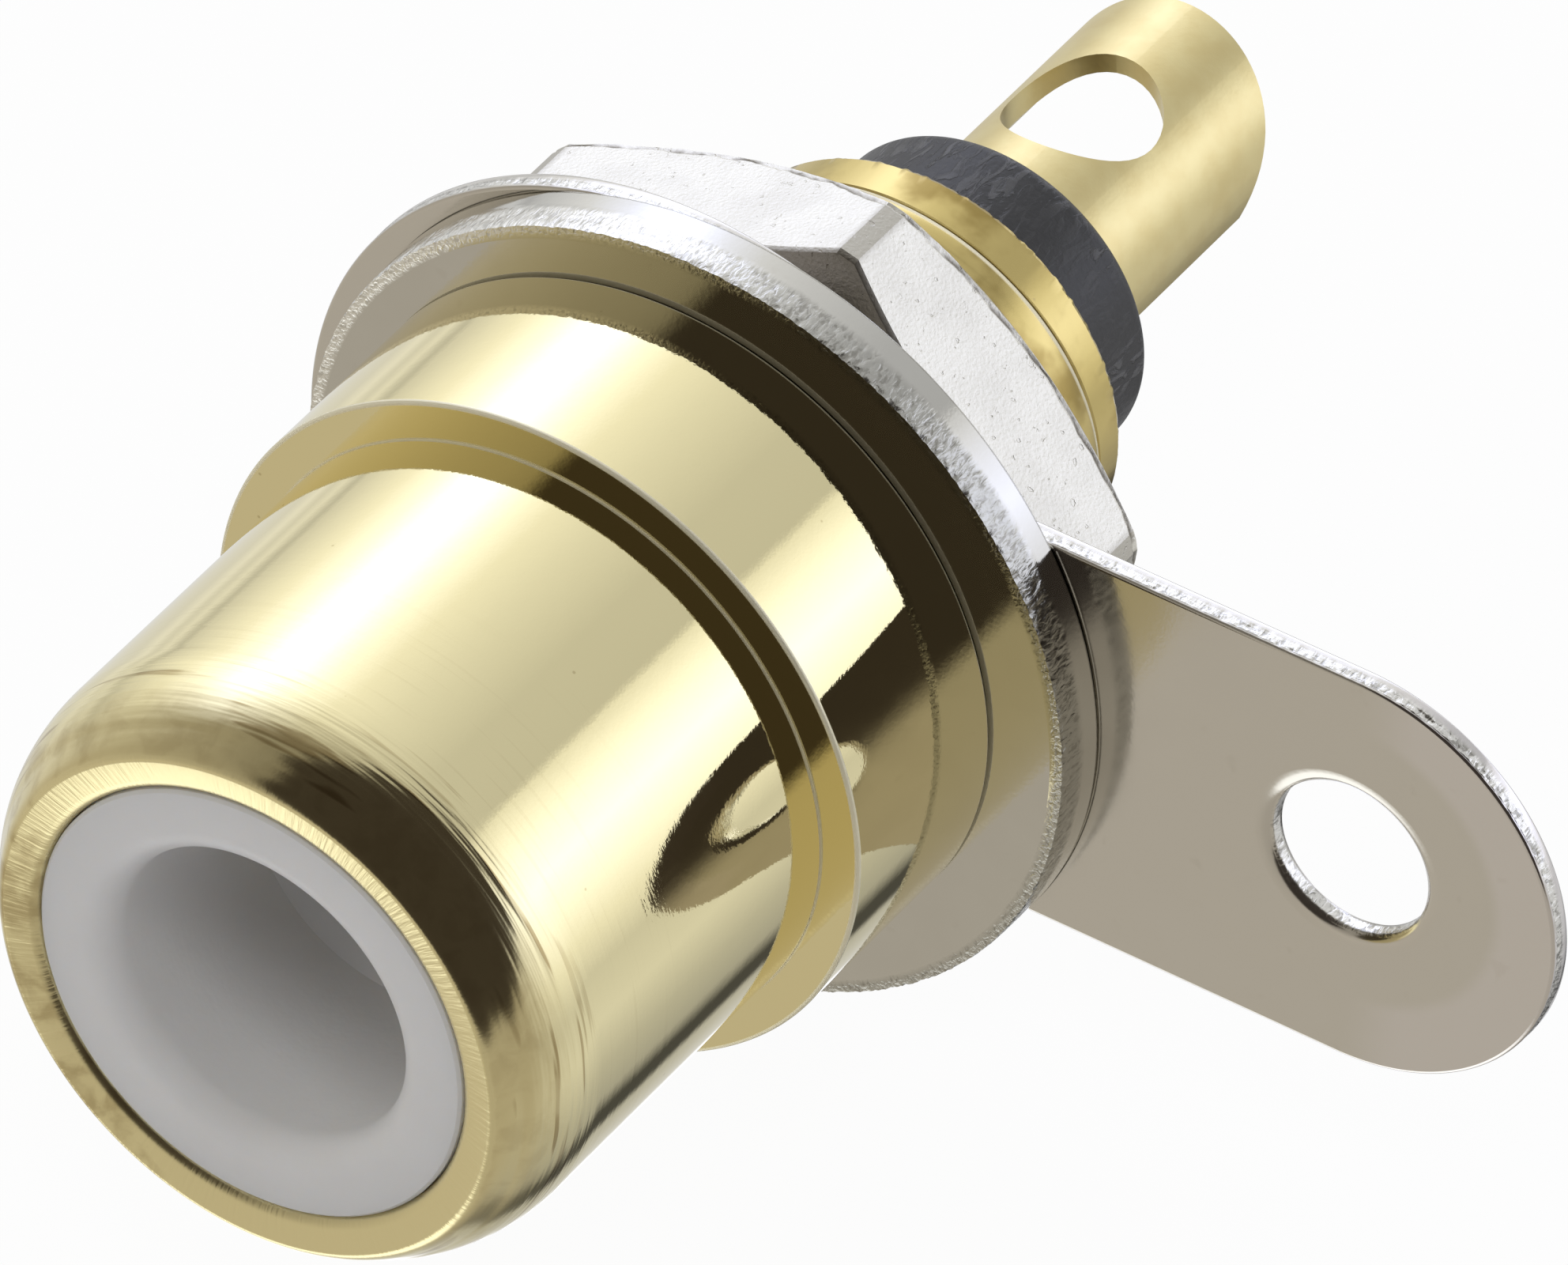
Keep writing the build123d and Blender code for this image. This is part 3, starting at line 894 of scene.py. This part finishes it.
# Painted shade on the washer's torn rim towards +X, where less light falls
WASHER_RIM_SHADE = (0.5, 0.495, 0.46)  # its torn rim on the +X side
TAG_NICKEL = (0.72, 0.7, 0.66)
TIP_NICKEL = (0.8, 0.775, 0.78)
NICKEL_STAIN = (0.5, 0.46, 0.4)
TORN_NICKEL = (0.84, 0.83, 0.79)
# Painted shade in the hollows between the torn rim's chips
TORN_GAP_SHADE = (0.3, 0.29, 0.26)
RESIN_WHITE = (0.9, 0.9, 0.9)
RESIN_WHITE_DEEP = (0.84, 0.835, 0.825)
RESIN_BLACK = (0.03, 0.03, 0.032)
RESIN_SCRATCH = (0.17, 0.17, 0.175)
NOSE_LINES_R = (3.56, 3.68)  # the turning lines start between these radii
NOSE_STAINS_R = (3.95, 4.12)  # and the stains end between these
TIP_RING = (2.0, 2.25)  # the tag's tip changes tone at these distances from its hole
TIP_ACROSS = (9.3, 10.3)  # and between these places along X
# The torn rims' painted shade sets in between these places along X
RIM_SHADE_ACROSS = (-1.0, 2.5)  # the torn rims change tone between these places along X


def gold_shell():
    """Mirror gold: turned nose with a brushed band, a few specks, painted highlights, painted shade
    on the shank.
    """
    p = Paint("gold_shell")
    x, y, z = p.node("ShaderNodeSeparateXYZ", {0: p.scaled()}).outputs
    radius = p.math("SQRT", p.math("ADD", p.product(x, x), p.product(z, z)))
    angle = p.math("ARCTAN2", z, x)
    nose, crest, corner, shank = (p.mark(name) for name in ("nose", "crest", "corner", "shank"))

    # Turning lines follow the nose round; brush marks cross its band
    along = p.math("SUBTRACT", y, radius)
    line_place = p.node("ShaderNodeCombineXYZ", {0: along, 1: p.product(angle, 0.15)})
    lines = p.noise(11.0, 2.0, line_place.outputs[0])
    grooves = p.range(lines, 0.57, 0.66)
    outer_nose = p.product(nose, p.range(radius, *NOSE_LINES_R))
    brush_place = p.node("ShaderNodeCombineXYZ", {0: p.product(angle, 40.0), 1: radius})
    brush = p.noise(1.6, 3.0, brush_place.outputs[0])

    # Stains and specks on the nose, inside its outer edge and more of them on the left
    patch = p.range(p.noise(1.1, 2.0), 0.36, 0.58)
    rim = p.product(nose, p.range(radius, *NOSE_STAINS_R, 1.0, 0.0))
    mottle = p.range(p.noise(2.6, 5.0, distortion=0.4), 0.42, 0.68, 0.25, 0.9)
    handled = p.range(p.math("ADD", x, p.product(z, 0.4)), -0.5, -3.6, 0.6, 1.6)
    stain = p.product(p.product(mottle, rim), handled)
    specks = p.range(p.cells(1.4), 0.04, 0.02)
    dirt = p.math("MAXIMUM", p.product(specks, 0.5), p.product(stain, 0.55), True)
    line_dirt = p.product(p.product(grooves, outer_nose), p.range(patch, 0, 1, 0.5, 1.0))
    clean = p.product(crest, p.range(handled, 1.05, 1.5, 1.0, 0.15))
    worn = p.math("SUBTRACT", p.math("MAXIMUM", dirt, line_dirt), clean, True)
    # Painted shade near the nut: darker gold with dark olive patches on the shank
    shade_patches = p.product(shank, p.range(p.noise(0.75, 4.0), 0.47, 0.62))
    base = p.blend(shank, GOLD, GOLD_SHANK_SHADE)
    base = p.blend(p.product(shade_patches, 0.75), base, SHANK_SHADE_PATCH)
    # Painted highlight: the corner mark turns edges pale
    base = p.blend(p.product(corner, 0.9), base, GOLD_PAINTED_HIGHLIGHT)
    colour = p.blend(worn, base, GOLD_STAIN)

    roughness = p.math("ADD", p.product(nose, 0.1), 0.03)
    for mark, extra in ((crest, 0.16), (corner, 0.4), (shank, 0.16)):
        roughness = p.math("ADD", roughness, p.product(mark, extra))
    p.bump(p.noise(24.0, 2.0), 0.0003)
    p.bump(p.noise(3.2, 3.0), 0.0012)
    p.bump(p.product(lines, outer_nose), 0.012)
    p.bump(p.product(brush, crest), 0.007)
    # The painted highlight is also made partly non-metallic, so that it reads pale
    metallic = p.math("SUBTRACT", 1.0, p.product(corner, 0.6))
    return p.finish(Base_Color=colour, Metallic=metallic, Roughness=roughness)


def gold_contact():
    """Satin gold on rolled sheet."""
    p = Paint("gold_contact")
    tint = p.range(p.noise(2.2, 3.0), 0.35, 0.75)
    colour = p.blend(p.product(tint, 0.4), GOLD_SATIN, GOLD_SATIN_DEEP)
    p.bump(p.noise(16.0, 3.0), 0.0015)
    p.bump(p.noise(1.6, 2.0), 0.004)
    return p.finish(Base_Color=colour, Metallic=1.0, Roughness=0.33)


def nickel_nut():
    """Satin nickel with a fine grain, pits, a ragged burr, and painted shade on the front and the
    turned corners.
    """
    p = Paint("nut_plate")
    grain = p.noise(20.0, 4.0)
    pits = p.range(p.noise(9.0, 2.0), 0.66, 0.74)
    tone = p.range(p.noise(1.3, 4.0), 0.35, 0.7, 0.0, 0.1)
    burr = p.product(p.mark("burr"), p.range(p.noise(1.6, 5.0), 0.42, 0.54))
    dark = p.math("MAXIMUM", p.product(pits, 0.06), p.product(burr, 0.85))
    # The shade mark adds painted shade in the same dark colour as pits, burr and tone
    dark = p.math("MAXIMUM", p.math("MAXIMUM", dark, tone), p.mark("shade"))
    colour = p.blend(dark, NUT_NICKEL, NUT_DARK_AND_SHADE)
    p.bump(grain, 0.006)
    p.bump(p.product(pits, -1.0), 0.005)
    return p.finish(Base_Color=colour, Metallic=1.0, Roughness=0.38)


def nickel_plate(name, tint, shaded_rim_tint, roughness):
    """Bright nickel face, and a torn rim where the mesh is marked.

    Towards +X the torn rim goes over to a second tint, which is painted shade, and the painted
    shade between its chips grows. Beyond the tag's hole the face is paler; the washer doesn't reach
    that far.
    """
    p = Paint(name)
    torn = p.mark("torn")
    place = p.scaled()
    across = p.node("ShaderNodeSeparateXYZ", {0: place}).outputs[0]
    away = p.node("ShaderNodeVectorMath", {0: place, 1: TAG_HOLE_PLACE}, operation="DISTANCE")
    from_hole = p.range(away.outputs["Value"], *TIP_RING)
    tip = p.product(from_hole, p.range(across, *TIP_ACROSS))
    tint = p.blend(p.product(tip, 0.8), tint, TIP_NICKEL)
    chips = p.noise(15.0, 4.0, p.scaled((1.0, 0.4, 1.0)), 0.6)
    haze = p.range(p.noise(0.9, 3.0), 0.35, 0.7)
    stains = p.product(p.range(p.noise(2.4, 5.0), 0.6, 0.72), 0.12)
    colour = p.blend(p.math("MAXIMUM", stains, p.product(haze, 0.08)), tint, NICKEL_STAIN)
    # Towards +X the torn rim gets painted shade
    coarse = p.range(across, *RIM_SHADE_ACROSS)
    # Painted shade in the hollows between the chips, stronger towards +X
    gap_shade = p.product(torn, p.range(chips, 0.5, 0.36))
    colour = p.blend(torn, colour, p.blend(coarse, TORN_NICKEL, shaded_rim_tint))
    colour = p.blend(p.product(gap_shade, p.range(coarse, 0, 1, 0.35, 0.75)), colour, TORN_GAP_SHADE)
    face = p.range(haze, 0, 1, roughness, roughness + 0.05)
    p.bump(p.noise(16.0, 4.0), 0.0008)
    p.bump(p.product(chips, torn), 0.016)
    return p.finish(Base_Color=colour, Metallic=1.0,
                    Roughness=p.math("ADD", p.product(torn, 0.1), face))


def white_resin():
    """Natural white resin: slightly see-through, smooth, with faint flow marks."""
    p = Paint("white_insulator")
    marks = p.range(p.noise(1.2, 3.0), 0.3, 0.7, 0.0, 0.2)
    colour = p.blend(marks, RESIN_WHITE, RESIN_WHITE_DEEP)
    p.bump(p.noise(7.0, 2.0), 0.004)
    return p.finish(Base_Color=colour, Roughness=0.38, Subsurface_Weight=0.5,
                    Subsurface_Radius=(1.0, 0.9, 0.8), Subsurface_Scale=0.5 * MM)


def black_resin():
    """Black resin with short scratches, in patches."""
    p = Paint("black_insulator")
    cut = p.range(p.noise(9.0, 4.0, p.scaled((1.0, 0.3, 1.0)), 0.8), 0.48, 0.62)
    scratches = p.product(cut, p.range(p.noise(0.8, 2.0), 0.4, 0.56, 0.15, 1.0))
    dust = p.range(p.cells(3.0), 0.05, 0.02)
    pale = p.math("MAXIMUM", p.product(scratches, 0.5), p.product(dust, 0.4))
    colour = p.blend(pale, RESIN_BLACK, RESIN_SCRATCH)
    p.bump(p.noise(12.0, 3.0), 0.006)
    p.bump(scratches, 0.012)
    return p.finish(Base_Color=colour, Roughness=0.4)


# Studio: places in metres, directions from the object, angles in degrees, lens in millimetres
CAMERA_LOCATION = (0.117045, -0.185344, 0.189213)
CAMERA_AZIMUTH = 31.898
CAMERA_ELEVATION = 40.861
CAMERA_ROLL = 2.344
CAMERA_LENS = 544.35
CAMERA_SENSOR = 36.0
CAMERA_CLIP = (0.01, 5.0)
FLOOR_RADIUS = 0.25
FLOOR_SIDES = 96
FLOOR_COLOUR = (0.9, 0.9, 0.9)
FLOOR_LIFT = 0.96  # share of plain white in what the camera sees of the floor
# Name, place, diameter and watts
LAMPS = (("fill_left", (-0.12, -0.26, 0.16), 0.16, 0.09),
         ("fill_top", (0.1, -0.14, 0.28), 0.12, 0.19))
# Round zones of the studio: centre, the angles from it at which its tone is full and gone, colour
GLOW = ((-0.22, -0.3, -0.928), (13, 23), (1.45, 1.45, 1.4))
ROOM = ((0.499, -0.63, 0.595), (49, 56), (0.045, 0.037, 0.031))
# Brightness of the studio by the angle round the Y axis from +X to +Z, for both its halves
BACK_STOPS = ((-180, 0.68), (-177, 0.54), (-171.5, 0.8), (-167, 0.68), (-162, 0.82), (-155, 0.7),
              (-124, 0.75), (-119, 1.3), (-114, 1.7), (-107, 0.66), (-88, 0.48), (-84, 0.07),
              (-77, 0.07), (-69, 0.4), (-55, 0.5), (-36, 0.72), (-18, 0.64), (-5, 0.92),
              (13, 1.7), (21, 2.1), (32, 1.65), (40, 1.2), (46.5, 0.87), (48.5, 0.58), (70, 0.6),
              (95, 0.8), (109, 0.95), (120, 1.5), (137, 2.9), (150, 1.7), (163, 1.0), (179, 0.7))
FRONT_STOPS = ((-180, 0.48), (-150, 0.56), (-121, 0.53), (-75, 0.47), (-30, 0.45), (60, 0.3),
               (117, 0.25), (132, 0.33), (150, 0.38), (165, 0.43), (180, 0.48))
FRONT_TINT = (1.0, 0.92, 0.78)
HALVES_BLEND = (-0.25, 0.5)  # the halves meet between these Y parts of the direction
HIGHLIGHT = (0.45, 0.5, 0.75)  # share of the brightness over 1 that red, green and blue keep
RAMP_TOP = 4.0  # a ramp holds colours up to 1, so its colours are divided by this


def make_camera():
    """The photograph's camera, as fitted to its circles."""
    camera = place_object("photo_camera", bpy.data.cameras.new("photo_camera"))
    turn = Matrix.Rotation(math.radians(CAMERA_AZIMUTH), 4, "Z")
    tilt = Matrix.Rotation(math.radians(90 - CAMERA_ELEVATION), 4, "X")
    roll = Matrix.Rotation(math.radians(CAMERA_ROLL), 4, "Z")
    camera.matrix_world = Matrix.Translation(CAMERA_LOCATION) @ turn @ tilt @ roll
    camera.data.lens = CAMERA_LENS
    camera.data.sensor_width = CAMERA_SENSOR
    camera.data.sensor_fit = "HORIZONTAL"
    camera.data.clip_start, camera.data.clip_end = CAMERA_CLIP
    bpy.context.scene.camera = camera


def make_world():
    """White to the camera; mirrors see soft boxes, a glow below and the camera's dark room."""
    world = bpy.data.worlds.new("studio")
    bpy.context.scene.world = world
    world.use_nodes = True
    world.node_tree.nodes.clear()
    w = Nodes(world.node_tree)
    way = w.node("ShaderNodeTexCoord").outputs["Generated"]
    x, y, z = w.node("ShaderNodeSeparateXYZ", {0: way}).outputs
    round_y = w.math("ADD", w.math("DIVIDE", w.math("ARCTAN2", z, x), TURN), 0.5)

    def lights(stops, tint=(1.0, 1.0, 1.0)):
        """Colour of the lights round the Y axis."""
        ramp_node = w.node("ShaderNodeValToRGB", {0: round_y})
        ramp = ramp_node.color_ramp
        while len(ramp.elements) > 1:
            ramp.elements.remove(ramp.elements[-1])
        for index, (angle, level) in enumerate(stops):
            position = (angle + 180) / 360
            stop = ramp.elements[0] if index == 0 else ramp.elements.new(position)
            stop.position = position
            base, over = min(level, 1.0), max(0.0, level - 1.0)
            rgb = [(base + over * share) * part for share, part in zip(HIGHLIGHT, tint)]
            stop.color = (*[part / RAMP_TOP for part in rgb], 1)
        raised = w.node("ShaderNodeVectorMath", {0: ramp_node.outputs[0], 1: (RAMP_TOP,) * 3},
                        operation="MULTIPLY")
        return raised.outputs[0]

    def between(factor, first, second):
        """Mix of two vectors, whose sockets are 4 and 5, and output 1."""
        mix = w.node("ShaderNodeMix", {0: factor, 4: first, 5: second}, data_type="VECTOR")
        return mix.outputs[1]

    behind = w.range(y, *HALVES_BLEND)
    level = between(behind, lights(FRONT_STOPS, FRONT_TINT), lights(BACK_STOPS))
    for centre, angles, colour in (GLOW, ROOM):
        facing = w.node("ShaderNodeVectorMath", {0: way, 1: centre}, operation="DOT_PRODUCT")
        near, far = (math.cos(math.radians(angle)) for angle in angles)
        level = between(w.range(facing.outputs["Value"], far, near), level, colour)
    studio = w.node("ShaderNodeBackground", {"Color": level})
    white = w.node("ShaderNodeBackground", {"Color": (1, 1, 1, 1), "Strength": 1.0})
    ray = w.node("ShaderNodeLightPath").outputs["Is Camera Ray"]
    mixed = w.node("ShaderNodeMixShader", {0: ray, 1: studio.outputs[0], 2: white.outputs[0]})
    w.node("ShaderNodeOutputWorld", {0: mixed.outputs[0]})


def make_floor():
    """Pale floor under the lowest point: white to the camera, with the object's soft shadow."""
    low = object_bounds()[0][2] / MM
    radius = FLOOR_RADIUS / MM
    points = [(radius * math.cos(a), radius * math.sin(a), low) for a in even_angles(FLOOR_SIDES)]
    floor = build_mesh("studio_floor", points, [tuple(range(FLOOR_SIDES))])
    p = Paint("studio_floor")
    seen = p.node("ShaderNodeLightPath").outputs["Is Camera Ray"]
    cloth = p.node("ShaderNodeBsdfDiffuse", {"Color": (*FLOOR_COLOUR, 1)})
    white = p.node("ShaderNodeEmission", {"Color": (1, 1, 1, 1), "Strength": 1.0})
    lift = p.product(seen, FLOOR_LIFT)
    mixed = p.node("ShaderNodeMixShader", {0: lift, 1: cloth.outputs[0], 2: white.outputs[0]})
    output = p.tree.nodes["Material Output"]
    p.tree.links.new(mixed.outputs[0], output.inputs[0])
    p.tree.nodes.remove(p.shader)
    floor.data.materials.append(p.material)
    floor.visible_glossy = False


def make_lamp(name, location, size, power):
    """Soft lamp that lights matt surfaces and doesn't show in the mirrors."""
    data = bpy.data.lights.new(name, "AREA")
    data.shape = "DISK"
    data.size = size
    data.energy = power
    lamp = place_object(name, data)
    lamp.location = location
    lamp.rotation_euler = Vector(location).to_track_quat("Z", "Y").to_euler()
    lamp.visible_glossy = False
    lamp.visible_camera = False


# Putting it together
def dress(piece, node, body, material):
    """Give a piece its paint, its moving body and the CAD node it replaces."""
    piece.data.materials.clear()
    piece.data.materials.append(material)
    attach(piece, body)
    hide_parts(node)


make_camera()
make_world()
make_floor()
for lamp in LAMPS:
    make_lamp(*lamp)

dress(make_shell(), "shell_body", "socket", gold_shell())
dress(make_front_insulator(), "front_insulator", "socket", white_resin())
dress(make_rear_insulator(), "rear_insulator", "socket", black_resin())
dress(make_contact(), "centre_contact", "socket", gold_contact())
dress(make_washer(), "flat_washer", "washer",
      nickel_plate("washer_plate", WASHER_NICKEL, WASHER_RIM_SHADE, roughness=0.06))
dress(make_tag(), "solder_tag", "tag",
      nickel_plate("tag_plate", TAG_NICKEL, TORN_NICKEL, roughness=0.13))
dress(make_nut(), "hex_nut", "nut", nickel_nut())

bpy.context.scene.view_settings.view_transform = "Standard"
